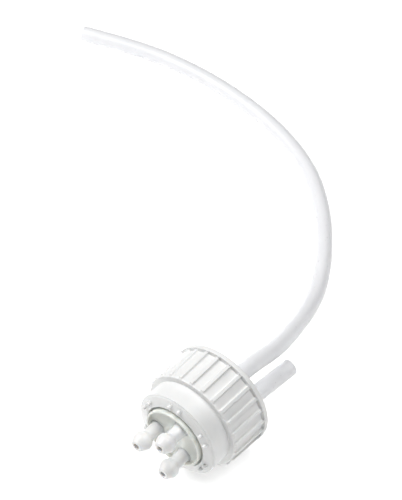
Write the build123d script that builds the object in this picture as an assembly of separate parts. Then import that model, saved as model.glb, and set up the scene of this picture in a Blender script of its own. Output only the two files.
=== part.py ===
from build123d import *
import os
from math import cos, pi, radians, sin, tan

# A three-port screw closure for a wide-mouth bottle, lying on its side.
# Row frame: +Z up, the surface that it lies on is Z = 0, the closure's axis is level and
# along Y, and its front (the outer face, with the hose barbs) looks towards -Y.
# The sub-parts are drawn in the closure's own frame, and moved to the row frame at export:
# there the axis is X = Z = 0, and Y is the distance behind the outer edge of its front face.

# ---- driving dimensions, mm ---------------------------------------------------------------
RIM_R = 30.5            # rear rim, the largest radius, which touches the surface
DEPTH = 36.9            # outer edge of the front face to rear rim
FRONT_Y = -31.2         # where the front face's outer edge stands in the row frame
NECK_R = 26.75          # inside of the skirt, for a 53 mm bottle finish
THREAD_PITCH = 4.2
THREAD_DEPTH = 1.25
THREAD_START = 22.6
THREAD_TURNS = 2.0

BAND_R = 25.2           # smooth front band
BAND_LENGTH = 11.4
LAND_R = (28.5, 28.9)   # skirt between the ribs, at its front and rear
RIB_COUNT = 25
RIB_FIRST = 5.3         # degrees from +X towards +Z
RIB_TOP_R = (29.3, 30.1)
RIB_WIDTH = 2.5
RIB_ROUNDING = 0.75
RIB_START = 12.2
RIM_START = 33.9
FACE_HOLE_R = 17.9
FACE_THICKNESS = 2.3
FACE_RISE = 2.4         # the face is a shallow cone, and its hole stands this far forward
FACE_EDGE = ((24.2, -0.35), (24.3, 0))  # the cone ends in a small step inside the band's edge
BAND_WALL_R = 23.3
LIP_SEAT = 14.0
BEAD_R = 25.95          # snap bead that keeps the insert in the closure
BEAD_Y = 19.0

NUB_R = 0.95
NUB_TOP = -3.2
NUB_PITCH_R = 21.6
NUB_PAIRS = 6
NUB_FIRST_PAIR = 30.5   # degrees from +X towards +Z
NUB_HALF_GAP = 8.0      # degrees from a pair's middle to each nub

RING_R = (16.3, 17.6)   # raised ring of the insert, inside and outside
RING_TOP = -4.2
FLOOR_TOP = -2.3
FLOOR_BACK = 0.5
GAP = 0.4               # running gap between the insert and the closure
FLANGE_R = 26.3
FLANGE_THICKNESS = 2.2
INSERT_WALL = 1.9
POCKET_R = 16.5         # recess behind the floor, where the nuts are
GASKET_R = (21.3, 26.2)
GASKET_THICKNESS = 1.8

PORT_PITCH_R = 11.3
PORT_ANGLES = (65.0, 185.0, 305.0)
BORE_R = 1.6
STEM_R = 3.7
TAIL_R = 3.2
BULB_R = 5.3
BULB_Y = (-15.0, -12.6) # the widest part, between the nose and the shoulder
TIP_R = 3.3
TIP_Y = -19.0
SHOULDER_Y = -10.2
O_RING_R = (3.25, 4.4)
O_RING_THICKNESS = 1.2
HEX_ACROSS_FLATS = 9.0
HEX_END = 7.0
TAIL_END = 5.8
BARB_ROOT_R = 2.95
BARB_RIDGE_R = 3.6
BARB_RIDGES = 3
BARB_RIDGE_LENGTH = 3.6
BARB_END_R = 2.7

TUBE_R = 4.76           # 3/8 inch outside, 1/4 inch inside
TUBE_BORE_R = 3.175
LONG_TUBE_ROUTE = [     # row frame, from the rear barb at 65 degrees to the bare end
    (4.8, -24.2, 40.7), (4.6, 0.0, 40.0), (2.2, 22.7, 36.5), (1.2, 48.7, 27.7),
    (-5.4, 72.7, 17.3), (-12.4, 94.7, 9.0), (-20.5, 116.7, 4.8), (-36.0, 142.2, 4.8),
    (-58.0, 168.7, 4.8), (-86.0, 191.2, 4.8), (-121.0, 205.7, 4.8), (-160.0, 213.2, 4.8),
    (-200.0, 214.5, 4.8), (-239.0, 209.2, 4.8), (-276.0, 196.9, 4.8),
]
SHORT_TUBE_LEAN = (0.07, 1.0, -0.04)    # direction once it is clear of its barb
SHORT_TUBE_BEND_Y = 22.0
SHORT_TUBE_BEND_R = 60.0
SHORT_TUBE_END_Y = 81.0


# ---- helpers ------------------------------------------------------------------------------
def section(*corners):
    """Closed outline from (radius, y) corners; a third number rounds that corner."""
    face = make_face(Polyline(*[corner[:2] for corner in corners], close=True))
    for corner in corners:
        if len(corner) == 3:
            place = Vector(corner[0], corner[1], 0)
            vertex = face.vertices().sort_by_distance(place)[0]
            face = fillet(vertex, corner[2])
    return face


def turned(*corners):
    return revolve(section(*corners), Axis.Y)


def on_circle(solid, radius, angle):
    return Pos(radius * cos(radians(angle)), 0, radius * sin(radians(angle))) * solid


def at_port(solid, angle):
    return on_circle(solid, PORT_PITCH_R, angle)


def in_row_frame(solid):
    return Pos(0, FRONT_Y, RIM_R) * solid


# ---- closure ------------------------------------------------------------------------------
def closure_body():
    return turned(
        (FACE_HOLE_R, -FACE_RISE, 0.4),
        (*FACE_EDGE[0], 0.1),
        FACE_EDGE[1],
        (BAND_R, 0, 0.5),
        (BAND_R, BAND_LENGTH, 0.5),
        (LAND_R[0] - 0.4, BAND_LENGTH, 0.5),
        (LAND_R[0], RIB_START),
        (LAND_R[1], RIM_START),
        (RIM_R, RIM_START, 0.5),
        (RIM_R, DEPTH, 0.8),
        (NECK_R + 0.9, DEPTH, 0.4),
        (NECK_R, DEPTH - 1.6),
        (NECK_R, BEAD_Y + 1.5),
        (BEAD_R, BEAD_Y + 0.9, 0.2),
        (BEAD_R, BEAD_Y + 0.5, 0.2),
        (NECK_R, BEAD_Y),
        (NECK_R, LIP_SEAT),
        (BAND_WALL_R, LIP_SEAT),
        (BAND_WALL_R, FACE_THICKNESS),
        (FACE_HOLE_R, FACE_THICKNESS - FACE_RISE),
    )


def rib():
    """One grip rib on the +X side, its top rising slightly towards the rim."""
    root = LAND_R[0] - 0.8
    side = section(
        (root, RIB_START),
        (RIB_TOP_R[0], RIB_START, 0.5),
        (RIB_TOP_R[1], RIM_START + 0.4),
        (root, RIM_START + 0.4),
    )
    solid = extrude(side, RIB_WIDTH / 2, both=True)
    long_edges = solid.edges().filter_by(lambda edge: edge.length > 0.8 * (RIM_START - RIB_START))
    return fillet(long_edges.sort_by(Axis.X)[-2:], RIB_ROUNDING)


def nub():
    """A small round stud that stands on the front face."""
    return turned((0, 0), (NUB_R, 0), (NUB_R, NUB_TOP, 0.45), (0, NUB_TOP))


def nub_angles():
    angles = []
    for pair in range(NUB_PAIRS):
        middle = NUB_FIRST_PAIR + pair * 360 / NUB_PAIRS
        angles += [middle - NUB_HALF_GAP, middle + NUB_HALF_GAP]
    return angles


def thread_ridge():
    """Helical ridge on the inside of the skirt, which the bottle's thread runs in."""
    path = Helix(
        THREAD_PITCH, THREAD_PITCH * THREAD_TURNS, NECK_R,
        center=(0, THREAD_START, 0), direction=(0, 1, 0),
    )
    start = path @ 0
    inward = Vector(-start.X, 0, -start.Z).normalized()
    plane = Plane(origin=start, x_dir=inward, z_dir=path % 0)
    profile = plane * Polyline(
        (-0.4, -1.15), (0, -1.15), (THREAD_DEPTH, -0.45), (THREAD_DEPTH, 0.45), (0, 1.15),
        (-0.4, 1.15), close=True,
    )
    return sweep(make_face(profile), path=path, is_frenet=True)


def closure_shell():
    ribs = [Rot(0, -(RIB_FIRST + 360 / RIB_COUNT * i), 0) * rib() for i in range(RIB_COUNT)]
    nubs = [on_circle(nub(), NUB_PITCH_R, angle) for angle in nub_angles()]
    return closure_body() + ribs + nubs + thread_ridge()


# ---- insert and its seals -----------------------------------------------------------------
def port_insert():
    wall_r = BAND_WALL_R - GAP
    top = FACE_THICKNESS + GAP
    flange_top = LIP_SEAT + GAP
    disc_back = top + 2.5
    body = turned(
        (0, FLOOR_TOP),
        (RING_R[0], FLOOR_TOP, 0.4),
        (RING_R[0], RING_TOP, 0.4),
        (RING_R[1], RING_TOP, 0.6),
        (RING_R[1], top - FACE_RISE, 0.3),
        (wall_r, top, 0.5),
        (wall_r, flange_top, 0.3),
        (FLANGE_R, flange_top, 0.4),
        (FLANGE_R, flange_top + FLANGE_THICKNESS),
        (wall_r - INSERT_WALL, flange_top + FLANGE_THICKNESS, 0.3),
        (wall_r - INSERT_WALL, disc_back, 0.5),
        (POCKET_R, disc_back, 0.5),
        (POCKET_R, FLOOR_BACK, 0.3),
        (0, FLOOR_BACK),
    )
    hole = turned((0, FLOOR_TOP - 1), (TAIL_R, FLOOR_TOP - 1), (TAIL_R, FLOOR_BACK + 1), (0, FLOOR_BACK + 1))
    return body - [at_port(hole, angle) for angle in PORT_ANGLES]


def lip_gasket():
    front = LIP_SEAT + GAP + FLANGE_THICKNESS
    back = front + GASKET_THICKNESS
    return turned((GASKET_R[0], front), (GASKET_R[1], front, 0.4), (GASKET_R[1], back, 0.4), (GASKET_R[0], back))


# ---- through-fittings: front barb, O-ring, rear barb that screws onto its tail --------------
def hose_barb():
    return turned(
        (BORE_R, TIP_Y, 0.3),
        (TIP_R, TIP_Y, 0.8),
        (BULB_R, BULB_Y[0], 3.0),
        (BULB_R, BULB_Y[1], 1.0),
        (STEM_R, SHOULDER_Y, 0.8),
        (STEM_R, FLOOR_TOP),
        (TAIL_R, FLOOR_TOP),
        (TAIL_R, TAIL_END, 0.3),
        (BORE_R, TAIL_END),
    )


def port_o_ring():
    back = FLOOR_BACK + O_RING_THICKNESS
    return turned(
        (O_RING_R[0], FLOOR_BACK, 0.5),
        (O_RING_R[1], FLOOR_BACK, 0.5),
        (O_RING_R[1], back, 0.5),
        (O_RING_R[0], back, 0.5),
    )


def tube_barb():
    """Hexagonal nut that takes the front barb's tail, with a ridged barb behind it."""
    front = FLOOR_BACK + O_RING_THICKNESS
    hexagon = RegularPolygon(HEX_ACROSS_FLATS / 2, 6, major_radius=False)
    nut = extrude(Plane((0, front, 0), z_dir=(0, 1, 0)) * hexagon, HEX_END - front)
    nut = chamfer(nut.edges().filter_by(Axis.Y), 0.5)
    ridges = []
    for i in range(BARB_RIDGES):
        low = HEX_END + 0.6 + i * BARB_RIDGE_LENGTH
        ridges += [(BARB_RIDGE_R, low), (BARB_ROOT_R, low + BARB_RIDGE_LENGTH - 0.3)]
        if i < BARB_RIDGES - 1:
            ridges += [(BARB_ROOT_R, low + BARB_RIDGE_LENGTH)]
    end = HEX_END + 0.6 + BARB_RIDGES * BARB_RIDGE_LENGTH + 0.8
    barb = turned((0, HEX_END - 1), (BARB_ROOT_R, HEX_END - 1), (BARB_ROOT_R, HEX_END + 0.6), *ridges,
                  (BARB_END_R, end), (0, end))
    bore = turned((0, front - 1), (TAIL_R, front - 1), (TAIL_R, TAIL_END), (BORE_R, TAIL_END),
                  (BORE_R, end + 1), (0, end + 1))
    return nut + barb - bore


# ---- tubes --------------------------------------------------------------------------------
def turn_angles(route):
    """Turn of the route at each inner point, and the length of each of its runs."""
    runs = [Vector(*b) - Vector(*a) for a, b in zip(route, route[1:])]
    turns = [radians(a.get_angle(b)) for a, b in zip(runs, runs[1:])]
    return turns, [run.length for run in runs]


def route_radii(route):
    turns, runs = turn_angles(route)
    return [0.45 * min(a, b) / tan(turn / 2) for turn, a, b in zip(turns, runs, runs[1:])]


def tube_along(path):
    ring = Circle(TUBE_R) - Circle(TUBE_BORE_R)
    plane = Plane(origin=path @ 0, z_dir=path % 0)
    return sweep(plane * ring, path=path)


def long_tube():
    radii = route_radii(LONG_TUBE_ROUTE)
    path = FilletPolyline(*LONG_TUBE_ROUTE, radius=radii)
    tube = tube_along(path)
    print("long tube: length %.1f mm" % path.length, "radii", [round(r) for r in radii])
    area = pi * (TUBE_R**2 - TUBE_BORE_R**2)
    print("long tube: volume %.1f, section times length %.1f" % (tube.volume, area * path.length))
    return tube


def short_tube():
    """Stiff stub on the rear barb at 305 degrees, its free end cut square."""
    x, z = (PORT_PITCH_R * f(radians(PORT_ANGLES[2])) for f in (cos, sin))
    lean = Vector(*SHORT_TUBE_LEAN)
    bend = Vector(x, SHORT_TUBE_BEND_Y, z)
    end = bend + lean * (SHORT_TUBE_END_Y - SHORT_TUBE_BEND_Y)
    path = FilletPolyline((x, HEX_END, z), bend, end, radius=SHORT_TUBE_BEND_R)
    print("short tube: length %.1f mm" % path.length)
    return tube_along(path)


# ---- export -------------------------------------------------------------------------------
def main():
    os.makedirs("parts", exist_ok=True)
    nodes = {
        "closure_shell": closure_shell(),
        "port_insert": port_insert(),
        "lip_gasket": lip_gasket(),
        "short_tube": short_tube(),
    }
    for number, angle in enumerate(PORT_ANGLES, start=1):
        nodes["hose_barb_%d" % number] = at_port(hose_barb(), angle)
        nodes["port_o_ring_%d" % number] = at_port(port_o_ring(), angle)
        nodes["tube_barb_%d" % number] = at_port(tube_barb(), angle)
    nodes = {name: in_row_frame(solid) for name, solid in nodes.items()}
    box = Compound(children=[Compound(solid.solids()) for solid in nodes.values()]).bounding_box()
    print("box without the long tube:", box.min, box.max)
    nodes["long_tube"] = long_tube()
    for name, solid in nodes.items():
        export_step(solid, "parts/%s.step" % name)


main()
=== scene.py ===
import bpy
from math import cos, exp, pi, radians, sin, tan
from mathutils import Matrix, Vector


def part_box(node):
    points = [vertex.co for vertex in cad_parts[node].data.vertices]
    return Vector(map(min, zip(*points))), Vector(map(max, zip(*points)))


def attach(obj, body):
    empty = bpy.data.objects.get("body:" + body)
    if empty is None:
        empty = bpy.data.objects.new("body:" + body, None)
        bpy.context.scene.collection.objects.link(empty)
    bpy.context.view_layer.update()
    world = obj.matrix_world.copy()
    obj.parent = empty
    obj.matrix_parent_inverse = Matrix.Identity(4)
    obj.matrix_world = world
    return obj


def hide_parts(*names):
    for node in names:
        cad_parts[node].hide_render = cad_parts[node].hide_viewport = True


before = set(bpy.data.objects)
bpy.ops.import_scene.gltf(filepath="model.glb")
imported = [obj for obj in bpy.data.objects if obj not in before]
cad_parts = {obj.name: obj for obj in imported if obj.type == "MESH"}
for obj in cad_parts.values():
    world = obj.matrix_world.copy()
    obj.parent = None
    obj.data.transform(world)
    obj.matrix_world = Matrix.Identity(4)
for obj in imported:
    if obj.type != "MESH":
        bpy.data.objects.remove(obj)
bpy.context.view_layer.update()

MM = 0.001

# ---- places, from the frame (mm in the closure's own frame: Y behind the outer edge of its face) -----
LOW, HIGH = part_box("closure_shell")
NUB_TOP = -3.2
AXIS_X = (LOW.x + HIGH.x) / 2
AXIS_Z = (LOW.z + HIGH.z) / 2
FRONT_Y = LOW.y - NUB_TOP * MM
RIM_R = (HIGH.x - LOW.x) / 2 / MM
DEPTH = (HIGH.y - FRONT_Y) / MM

PORT_PITCH_R = 11.3
PORT_ANGLES = {1: 65.0, 2: 185.0, 3: 305.0}
TUBE_R = 4.76
TUBE_BORE_R = 3.175


def place(x, y, z):
    """A point of the closure's frame, in mm, as a point of the row frame, in metres."""
    return Vector((AXIS_X + x * MM, FRONT_Y + y * MM, AXIS_Z + z * MM))


def port_centre(number):
    angle = radians(PORT_ANGLES[number])
    return PORT_PITCH_R * cos(angle), PORT_PITCH_R * sin(angle)


# ---- camera -----------------------------------------------------------------------------------------
CAMERA_AZIMUTH = 40.12
CAMERA_ELEVATION = 46.03
CAMERA_FROM_FACE = (401.2, -457.1, 766.5)   # mm, from the middle of the closure's face
CAMERA_LENS = 136.7


def make_camera():
    data = bpy.data.cameras.new("camera")
    data.lens = CAMERA_LENS
    data.sensor_width = 36
    data.clip_end = 20
    camera = bpy.data.objects.new("camera", data)
    camera.location = place(*CAMERA_FROM_FACE)
    camera.rotation_euler = (radians(90 - CAMERA_ELEVATION), 0, radians(CAMERA_AZIMUTH))
    bpy.context.scene.collection.objects.link(camera)
    bpy.context.scene.camera = camera


make_camera()


# ---- materials --------------------------------------------------------------------------------------
class Nodes:
    """Small helper that adds and links shader nodes."""

    def __init__(self, name):
        self.material = bpy.data.materials.new(name)
        self.material.use_nodes = True
        self.tree = self.material.node_tree
        self.shader = self.tree.nodes["Principled BSDF"]

    def add(self, kind, **values):
        node = self.tree.nodes.new(kind)
        for key, value in values.items():
            if key in node.inputs:
                node.inputs[key].default_value = value
            else:
                setattr(node, key, value)
        return node

    def link(self, out, into):
        self.tree.links.new(out, into)

    def set(self, **values):
        for key, value in values.items():
            self.shader.inputs[key.replace("_", " ")].default_value = value

    def position(self):
        return self.add("ShaderNodeTexCoord").outputs["Object"]

    def noise(self, scale, detail=3.0, rough=0.5):
        node = self.add("ShaderNodeTexNoise", Scale=scale, Detail=detail, Roughness=rough)
        self.link(self.position(), node.inputs["Vector"])
        return node.outputs["Fac"]

    def ramp(self, value, low, high, dark, light):
        node = self.add("ShaderNodeValToRGB")
        node.color_ramp.elements[0].position = low
        node.color_ramp.elements[0].color = (*dark, 1)
        node.color_ramp.elements[1].position = high
        node.color_ramp.elements[1].color = (*light, 1)
        self.link(value, node.inputs["Fac"])
        return node.outputs["Color"]

    def spread(self, value, low, high):
        node = self.add("ShaderNodeMapRange")
        node.inputs["From Min"].default_value = 0.3
        node.inputs["From Max"].default_value = 0.7
        node.inputs["To Min"].default_value = low
        node.inputs["To Max"].default_value = high
        self.link(value, node.inputs["Value"])
        return node.outputs["Result"]

    def bump(self, height, strength, distance):
        node = self.add("ShaderNodeBump", Strength=strength, Distance=distance)
        self.link(height, node.inputs["Height"])
        self.link(node.outputs["Normal"], self.shader.inputs["Normal"])


def moulded_plastic(name, dark, light, roughness, scatter, scatter_scale=0.002, fine=900.0, bump=0.25):
    """Injection-moulded polypropylene: faint cloudy colour, spark-eroded grain, soft scatter inside."""
    nodes = Nodes(name)
    cloud = nodes.noise(60.0, 4.0, 0.6)
    nodes.link(nodes.ramp(cloud, 0.3, 0.7, dark, light), nodes.shader.inputs["Base Color"])
    grain = nodes.noise(fine, 6.0, 0.65)
    nodes.link(nodes.spread(grain, roughness - 0.05, roughness + 0.07), nodes.shader.inputs["Roughness"])
    nodes.bump(grain, bump, 0.00006)
    nodes.set(Subsurface_Weight=scatter, Subsurface_Scale=scatter_scale, IOR=1.49, Specular_IOR_Level=0.45)
    nodes.shader.inputs["Subsurface Radius"].default_value = (1.0, 0.9, 0.8)
    return nodes.material


def milky_tube(name):
    """Translucent tubing: light passes through and scatters, with a faint haze of roughness and fine bumps.
    """
    nodes = Nodes(name)
    cloud = nodes.noise(45.0, 3.0, 0.5)
    nodes.link(nodes.ramp(cloud, 0.3, 0.7, (0.95, 0.955, 0.975), (0.98, 0.985, 1.0)),
               nodes.shader.inputs["Base Color"])
    haze = nodes.noise(500.0, 4.0, 0.6)
    nodes.link(nodes.spread(haze, 0.27, 0.38), nodes.shader.inputs["Roughness"])
    nodes.bump(haze, 0.05, 0.00003)
    nodes.set(Transmission_Weight=0.12, IOR=1.43, Specular_IOR_Level=0.5,
              Subsurface_Weight=0.15, Subsurface_Scale=0.002)
    nodes.shader.inputs["Subsurface Radius"].default_value = (0.9, 0.95, 1.0)
    return nodes.material


def soft_rubber(name, dark, light):
    nodes = Nodes(name)
    cloud = nodes.noise(80.0, 4.0, 0.6)
    nodes.link(nodes.ramp(cloud, 0.3, 0.7, dark, light), nodes.shader.inputs["Base Color"])
    grain = nodes.noise(1400.0, 4.0, 0.6)
    nodes.link(nodes.spread(grain, 0.55, 0.7), nodes.shader.inputs["Roughness"])
    nodes.bump(grain, 0.3, 0.00005)
    nodes.set(Subsurface_Weight=0.2, Subsurface_Scale=0.0015, IOR=1.41)
    return nodes.material


CLOSURE_WHITE = moulded_plastic("closure_white", (0.81, 0.815, 0.81), (0.86, 0.86, 0.855), 0.38, 0.15)
NATURAL = moulded_plastic("natural_polypropylene", (0.75, 0.765, 0.73), (0.82, 0.83, 0.80), 0.34, 0.5, 0.003)
BARB_NATURAL = moulded_plastic("barb_polypropylene", (0.80, 0.80, 0.795), (0.85, 0.85, 0.85), 0.3, 0.5, 0.003)
TUBE_MILKY = milky_tube("milky_tube")
GASKET = soft_rubber("gasket_silicone", (0.72, 0.72, 0.70), (0.8, 0.8, 0.78))
O_RING = soft_rubber("o_ring_silicone", (0.62, 0.60, 0.56), (0.7, 0.68, 0.64))


# ---- mesh tools -------------------------------------------------------------------------------------
def new_object(name, points, faces, material):
    mesh = bpy.data.meshes.new(name)
    mesh.from_pydata([tuple(p) for p in points], [], faces)
    mesh.polygons.foreach_set("use_smooth", [True] * len(mesh.polygons))
    mesh.materials.append(material)
    mesh.validate()
    mesh.update()
    made = bpy.data.objects.new(name, mesh)
    bpy.context.scene.collection.objects.link(made)
    return made


def rounded(corners, steps=5):
    """Outline through (radius, y) corners; a third number rounds that corner with an arc."""
    outline = []
    count = len(corners)
    for i, corner in enumerate(corners):
        here = Vector(corner[:2])
        if len(corner) < 3:
            outline.append(tuple(here))
            continue
        before = (Vector(corners[i - 1][:2]) - here).normalized()
        after = (Vector(corners[(i + 1) % count][:2]) - here).normalized()
        half = before.angle(after) / 2
        reach = corner[2] / tan(half)
        centre = here + (before + after).normalized() * (corner[2] / sin(half))
        start = here + before * reach - centre
        sweep = (here + after * reach - centre).angle_signed(start)
        for step in range(steps + 1):
            angle = sweep * step / steps
            outline.append((centre.x + start.x * cos(angle) - start.y * sin(angle),
                            centre.y + start.x * sin(angle) + start.y * cos(angle)))
    return outline


def turned(name, rows, angles, centre, material, radius=None, closed=True):
    """Surface of revolution about the closure's Y direction. rows are (radius, y, ...) in mm; radius may
    change a row's radius with the angle; closed joins the last row to the first."""
    points = []
    for row in rows:
        for angle in angles:
            r = radius(row, angle) if radius else row[0]
            points.append(place(centre[0] + r * cos(angle), row[1], centre[1] + r * sin(angle)))
    wide = len(angles)
    faces = []
    for i in range(len(rows) if closed else len(rows) - 1):
        j = (i + 1) % len(rows)
        for k in range(wide):
            m = (k + 1) % wide
            faces.append((i * wide + k, j * wide + k, j * wide + m, i * wide + m))
    if not closed:
        faces.append(tuple(range(wide)))
        faces.append(tuple(reversed(range((len(rows) - 1) * wide, len(rows) * wide))))
    return new_object(name, points, faces, material)


def even_angles(count):
    return [2 * pi * k / count for k in range(count)]


def smooth_step(value, low, high):
    t = min(1.0, max(0.0, (value - low) / (high - low)))
    return t * t * (3 - 2 * t)


# ---- tubes ------------------------------------------------------------------------------------------
LONG_TUBE_ROUTE = [
    (0.0048, -0.0242, 0.0407), (0.0046, 0.0000, 0.0400), (0.0022, 0.0227, 0.0365),
    (0.0012, 0.0487, 0.0277), (-0.0054, 0.0727, 0.0173), (-0.0124, 0.0947, 0.0090),
    (-0.0205, 0.1167, 0.0048), (-0.0360, 0.1422, 0.0048), (-0.0580, 0.1687, 0.0048),
    (-0.0860, 0.1912, 0.0048), (-0.1210, 0.2057, 0.0048), (-0.1600, 0.2132, 0.0048),
    (-0.2000, 0.2145, 0.0048), (-0.2390, 0.2092, 0.0048), (-0.2760, 0.1969, 0.0048),
]


def route_points(name, route):
    """Points along the smooth curve that the route's points control."""
    curve = bpy.data.curves.new(name, "CURVE")
    curve.dimensions = "3D"
    curve.resolution_u = 14
    spline = curve.splines.new("NURBS")
    spline.points.add(len(route) - 1)
    for point, control in zip(spline.points, route):
        point.co = (*control, 1)
    spline.order_u = 3
    spline.use_endpoint_u = True
    helper = bpy.data.objects.new(name, curve)
    bpy.context.scene.collection.objects.link(helper)
    bpy.context.view_layer.update()
    mesh = bpy.data.meshes.new_from_object(helper)
    points = [v.co.copy() for v in mesh.vertices]
    bpy.data.objects.remove(helper)
    bpy.data.meshes.remove(mesh)
    bpy.data.curves.remove(curve)
    return points


def directions(points):
    ahead = [(b - a).normalized() for a, b in zip(points, points[1:])]
    return [ahead[0]] + [(a + b).normalized() for a, b in zip(ahead, ahead[1:])] + [ahead[-1]]


def hollow_tube(name, points, material, around=40):
    """A square-cut tube with its bore, along points in metres. Its rims are rounded."""
    along = directions(points)
    side = along[0].orthogonal().normalized()
    frames = []
    for direction in along:
        side = (side - direction * side.dot(direction)).normalized()
        frames.append((side.copy(), direction.cross(side)))
    outer, inner = TUBE_R * MM, TUBE_BORE_R * MM
    edge = 0.25 * MM
    rings = []

    def ring(index, radius, shift):
        u, v = frames[index]
        made = []
        for k in range(around):
            angle = 2 * pi * k / around
            offset = (u * cos(angle) + v * sin(angle)) * radius
            made.append(points[index] + offset + along[index] * shift)
        rings.append(made)

    last = len(points) - 1
    ring(0, outer - edge, 0)
    ring(0, outer, edge)
    for index in range(1, last):
        ring(index, outer, 0)
    ring(last, outer, -edge)
    ring(last, outer - edge * 0.35, -edge * 0.35)
    ring(last, outer - edge, 0)
    ring(last, inner + edge, 0)
    ring(last, inner + edge * 0.35, -edge * 0.35)
    ring(last, inner, -edge)
    for index in range(last - 1, 0, -1):
        ring(index, inner, 0)
    ring(0, inner, edge)
    ring(0, inner + edge, 0)
    verts = [p for made in rings for p in made]
    faces = []
    for i in range(len(rings)):
        j = (i + 1) % len(rings)
        for k in range(around):
            m = (k + 1) % around
            faces.append((i * around + k, i * around + m, j * around + m, j * around + k))
    return new_object(name, verts, faces, material)


def long_tube():
    points = route_points("long_tube_route", LONG_TUBE_ROUTE)
    tube = hollow_tube("long_tube_hose", points, TUBE_MILKY)
    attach(tube, "port_insert_body")
    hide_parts("long_tube")


long_tube()

SHORT_TUBE_START_Y = 7.0
SHORT_TUBE_BEND_Y = 22.0
SHORT_TUBE_BEND_R = 60.0
SHORT_TUBE_END_Y = 81.0
SHORT_TUBE_LEAN = Vector((0.07, 1.0, -0.04))


def short_tube():
    """Straight over its barb, then a slight lean."""
    x, z = port_centre(3)
    lean = SHORT_TUBE_LEAN.normalized()
    turn = lean.angle(Vector((0, 1, 0)))
    reach = SHORT_TUBE_BEND_R * tan(turn / 2)
    bend = Vector((x, SHORT_TUBE_BEND_Y, z))
    end = bend + SHORT_TUBE_LEAN * (SHORT_TUBE_END_Y - SHORT_TUBE_BEND_Y)
    start = Vector((x, SHORT_TUBE_START_Y, z))
    enter = bend - Vector((0, reach, 0))
    leave = bend + lean * reach
    path = [start.lerp(enter, k / 6) for k in range(6)]
    for k in range(7):
        t = k / 6
        path.append(enter.lerp(bend, t).lerp(bend.lerp(leave, t), t))
    path += [leave.lerp(end, k / 20) for k in range(1, 21)]
    tube = hollow_tube("short_tube_stub", [place(*p) for p in path], TUBE_MILKY)
    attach(tube, "port_insert_body")
    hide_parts("short_tube")


short_tube()


# ---- closure ----------------------------------------------------------------------------------------
NECK_R = 26.75
THREAD_PITCH = 4.2
THREAD_DEPTH = 1.25
THREAD_START = 22.6
THREAD_TURNS = 2.0
BAND_R = 25.2
BAND_LENGTH = 11.4
LAND_R = (28.5, 28.9)
RIB_COUNT = 25
RIB_FIRST = 5.3                 # degrees from +X towards +Z
RIB_TOP_R = (29.5, 30.2)
RIB_START = 12.2
RIB_NOSE = (-0.4, 0.2)          # the rib rises to its top between these distances from its start
RIB_FLANK = (0.75, 1.3)         # and falls to the land between these distances from its middle
RIB_SAMPLES = (0.25, 0.5, 0.66, 0.8, 0.92, 1.04, 1.2, 1.45)
GAP_SAMPLES = 5
LAND_STEPS = 24
NOSE_SHARES = [0.005, 0.012]    # two more rows close behind the ribs' start
THREAD_CREST = (0.4, 1.2)       # half widths of the ridge at its top and foot
THREAD_FADE_IN = (-0.35, 0.05)  # turns
THREAD_FADE_OUT = (-1.05, -0.65)
THREAD_STEPS = 48
RIM_START = 33.9
FACE_HOLE_R = 17.9
FACE_THICKNESS = 2.3
FACE_RISE = 2.4
FACE_EDGE = ((24.2, -0.35), (24.3, 0))
BAND_WALL_R = 23.3
LIP_SEAT = 14.0
BEAD_R = 25.95
BEAD_Y = 19.0


def rib_angles():
    """Angles round the closure, close together over each rib and wider apart between them."""
    pitch = 2 * pi / RIB_COUNT
    near = [side * width for width in RIB_SAMPLES for side in (-1, 1)] + [0.0]
    offsets = sorted(w / RIM_R for w in near)
    gap = pitch - 2 * offsets[-1]
    between = [offsets[-1] + gap * k / GAP_SAMPLES for k in range(1, GAP_SAMPLES)]
    first = radians(RIB_FIRST)
    return sorted((first + pitch * i + o) % (2 * pi) for i in range(RIB_COUNT) for o in offsets + between)


def from_rib(angle, radius):
    """Distance along the surface, in mm, from the middle of the nearest rib."""
    pitch = 2 * pi / RIB_COUNT
    turn = ((angle - radians(RIB_FIRST)) / pitch + 0.5) % 1.0 - 0.5
    return abs(turn) * pitch * radius


def rib_top(y):
    along = (y - RIB_START) / (RIM_START - RIB_START)
    return RIB_TOP_R[0] + (RIB_TOP_R[1] - RIB_TOP_R[0]) * min(1.0, max(0.0, along))


def closure_radius(row, angle):
    r, y, ribbed, threaded = row
    if ribbed:
        height = max(0.0, rib_top(y) - r) * smooth_step(y - RIB_START, *RIB_NOSE)
        return r + height * (1 - smooth_step(from_rib(angle, r), *RIB_FLANK))
    if threaded:
        turns = (y - THREAD_START) / THREAD_PITCH - (angle / (2 * pi)) % 1.0
        centre = round(turns)
        ends = smooth_step(turns, *THREAD_FADE_IN) * (1 - smooth_step(turns - THREAD_TURNS, *THREAD_FADE_OUT))
        off = abs(turns - centre) * THREAD_PITCH
        return r - THREAD_DEPTH * ends * (1 - smooth_step(off, *THREAD_CREST))
    return r


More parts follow.
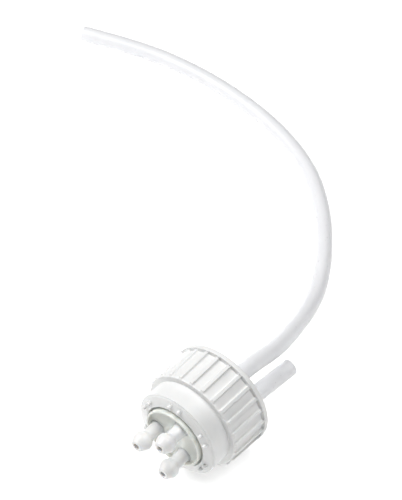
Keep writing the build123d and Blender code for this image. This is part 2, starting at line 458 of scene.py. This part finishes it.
def closure_rows():
    outline = rounded([
        (FACE_HOLE_R, -FACE_RISE, 0.4),
        (*FACE_EDGE[0], 0.1),
        FACE_EDGE[1],
        (BAND_R, 0, 0.45),
        (BAND_R, BAND_LENGTH, 0.25),
        (LAND_R[0] - 0.4, BAND_LENGTH, 0.3),
        (LAND_R[0], RIB_START),
    ])
    rows = [(r, y, y > RIB_START - 0.6, False) for r, y in outline]
    for share in NOSE_SHARES + [k / LAND_STEPS for k in range(1, LAND_STEPS)]:
        rows.append((LAND_R[0] + (LAND_R[1] - LAND_R[0]) * share, RIB_START + (RIM_START - RIB_START) * share,
                     True, False))
    rim = rounded([
        (LAND_R[1], RIM_START - 0.2),
        (LAND_R[1], RIM_START, 0.25),
        (RIM_R, RIM_START + 0.1, 0.5),
        (RIM_R, DEPTH, 0.8),
        (NECK_R + 0.9, DEPTH, 0.4),
        (NECK_R, DEPTH - 1.6, 0.5),
        (NECK_R, DEPTH - 3),
    ])
    rows += [(r, y, r < RIB_TOP_R[1] and y < RIM_START + 0.6, False) for r, y in rim]
    top = DEPTH - 3.2
    bottom = BEAD_Y + 1.9
    for k in range(THREAD_STEPS + 1):
        rows.append((NECK_R, top + (bottom - top) * k / THREAD_STEPS, False, True))
    inside = rounded([
        (NECK_R, BEAD_Y + 1.7),
        (NECK_R, BEAD_Y + 1.5, 0.2),
        (BEAD_R, BEAD_Y + 0.9, 0.2),
        (BEAD_R, BEAD_Y + 0.5, 0.2),
        (NECK_R, BEAD_Y, 0.2),
        (NECK_R, LIP_SEAT, 0.4),
        (BAND_WALL_R, LIP_SEAT, 0.3),
        (BAND_WALL_R, FACE_THICKNESS, 0.5),
        (FACE_HOLE_R, FACE_THICKNESS - FACE_RISE, 0.3),
        (FACE_HOLE_R, -1.2),
    ])
    return rows + [(r, y, False, False) for r, y in inside]


NUB_R = 0.95
NUB_PITCH_R = 21.6
NUB_PAIRS = 6
NUB_FIRST_PAIR = 30.5
NUB_HALF_GAP = 8.0


def nubs():
    """Round-topped studs in pairs, moulded on the face."""
    rows = rounded([(0.12, NUB_TOP), (NUB_R, NUB_TOP, 0.6), (NUB_R + 0.1, -0.2)])
    made = []
    for pair in range(NUB_PAIRS):
        for side in (-1, 1):
            angle = radians(NUB_FIRST_PAIR + pair * 360 / NUB_PAIRS + side * NUB_HALF_GAP)
            centre = (NUB_PITCH_R * cos(angle), NUB_PITCH_R * sin(angle))
            made.append(turned("nub", rows, even_angles(24), centre, CLOSURE_WHITE, closed=False))
    return made


def join(main, others):
    bpy.ops.object.select_all(action="DESELECT")
    for other in others:
        other.select_set(True)
    main.select_set(True)
    bpy.context.view_layer.objects.active = main
    bpy.ops.object.join()
    return main


def closure():
    shell = turned("closure_moulding", closure_rows(), rib_angles(), (0, 0), CLOSURE_WHITE, closure_radius)
    join(shell, nubs())
    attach(shell, "screw_closure")
    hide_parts("closure_shell")


closure()

# ---- insert -----------------------------------------------------------------------------------------
RING_R = (16.3, 17.6)
RING_TOP = -4.2
FLOOR_TOP = -2.3
FLOOR_BACK = 0.5
GAP = 0.4
FLANGE_R = 26.3
FLANGE_THICKNESS = 2.2
INSERT_WALL = 1.9
POCKET_R = 16.5


def insert():
    wall_r = BAND_WALL_R - GAP
    top = FACE_THICKNESS + GAP
    flange_top = LIP_SEAT + GAP
    disc_back = top + 2.5
    corners = [
        (0.3, FLOOR_TOP),
        (8.0, FLOOR_TOP),
        (RING_R[0], FLOOR_TOP, 0.5),
        (RING_R[0], RING_TOP, 0.45),
        (RING_R[1], RING_TOP, 0.6),
        (RING_R[1], top - FACE_RISE, 0.3),
        (wall_r, top, 0.5),
        (wall_r, flange_top, 0.3),
        (FLANGE_R, flange_top, 0.4),
        (FLANGE_R, flange_top + FLANGE_THICKNESS, 0.15),
        (wall_r - INSERT_WALL, flange_top + FLANGE_THICKNESS, 0.3),
        (wall_r - INSERT_WALL, disc_back, 0.5),
        (POCKET_R, disc_back, 0.5),
        (POCKET_R, FLOOR_BACK, 0.3),
        (8.0, FLOOR_BACK),
        (0.3, FLOOR_BACK),
    ]
    body = turned("insert_moulding", rounded(corners), even_angles(192), (0, 0), NATURAL)
    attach(body, "port_insert_body")
    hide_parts("port_insert")


insert()

# ---- through-fittings -------------------------------------------------------------------------------
BORE_R = 1.6
STEM_R = 3.7
TAIL_R = 3.2
BULB_R = 5.3
BULB_Y = (-15.0, -12.6)
SHOULDER_Y = -10.2
SEAM_HEIGHT = 0.07
SEAM_HALF_WIDTH = 0.16
TIP_R = 3.3
TIP_Y = -19.0
TAIL_END = 5.8


def seam(row, angle):
    """A faint parting line of the mould on two opposite sides."""
    r, y = row
    if r < TAIL_R + 0.1:
        return r
    off = min(abs((angle + pi / 2) % pi - pi / 2), pi) * r
    return r + SEAM_HEIGHT * exp(-(off / SEAM_HALF_WIDTH) ** 2)


def hose_barb(number):
    rows = rounded([
        (BORE_R, TIP_Y, 0.4),
        (TIP_R, TIP_Y, 0.8),
        (BULB_R, BULB_Y[0], 3.0),
        (BULB_R, BULB_Y[1], 1.0),
        (STEM_R, SHOULDER_Y, 0.9),
        (STEM_R, FLOOR_TOP - 0.9),
        (STEM_R + 0.25, FLOOR_TOP - 0.35),
        (STEM_R + 0.8, FLOOR_TOP + 0.05),
        (TAIL_R, FLOOR_TOP + 0.1),
        (TAIL_R, TAIL_END, 0.3),
        (BORE_R, TAIL_END, 0.2),
    ], 7)
    name = "hose_barb_moulding_%d" % number
    barb = turned(name, rows, even_angles(96), port_centre(number), BARB_NATURAL, seam)
    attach(barb, "port_insert_body")
    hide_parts("hose_barb_%d" % number)


for port in PORT_ANGLES:
    hose_barb(port)


def dress_hidden_parts():
    """The CAD shapes of the small inner parts stay, with their own finishes."""
    dress = {"lip_gasket": GASKET}
    for number in PORT_ANGLES:
        dress["port_o_ring_%d" % number] = O_RING
        dress["tube_barb_%d" % number] = BARB_NATURAL
    for node, material in dress.items():
        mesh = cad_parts[node].data
        mesh.materials.clear()
        mesh.materials.append(material)


dress_hidden_parts()


# ---- floor and light --------------------------------------------------------------------------------
def floor():
    size = 4.0
    sheet = new_object("floor", [(-size, -size, 0), (size, -size, 0), (size, size, 0), (-size, size, 0)],
                       [(0, 1, 2, 3)], floor_material())


def floor_material():
    nodes = Nodes("pale_floor")
    nodes.set(Base_Color=(0.93, 0.93, 0.93, 1), Roughness=0.9, Specular_IOR_Level=0.1,
              Emission_Color=(1, 1, 1, 1), Emission_Strength=0.36)
    return nodes.material


def softbox(name, location, target, size, power):
    data = bpy.data.lights.new(name, "AREA")
    data.shape = "DISK"
    data.size = size
    data.energy = power
    light = bpy.data.objects.new(name, data)
    light.location = location
    light.rotation_euler = (Vector(target) - Vector(location)).to_track_quat("-Z", "Y").to_euler()
    bpy.context.scene.collection.objects.link(light)


def lights():
    world = bpy.data.worlds.new("studio")
    world.use_nodes = True
    background = world.node_tree.nodes["Background"]
    background.inputs["Color"].default_value = (1, 1, 1, 1)
    background.inputs["Strength"].default_value = 0.15
    bpy.context.scene.world = world
    target = (-0.03, 0.06, 0.02)
    softbox("overhead", (0.3, 0.1, 1.45), target, 1.3, 15.5)
    softbox("key", (-0.9, -0.45, 1.0), target, 0.8, 10.5)
    settings = bpy.context.scene.view_settings
    settings.view_transform = "Standard"
    settings.look = "None"
    settings.gamma = 0.75


floor()
lights()
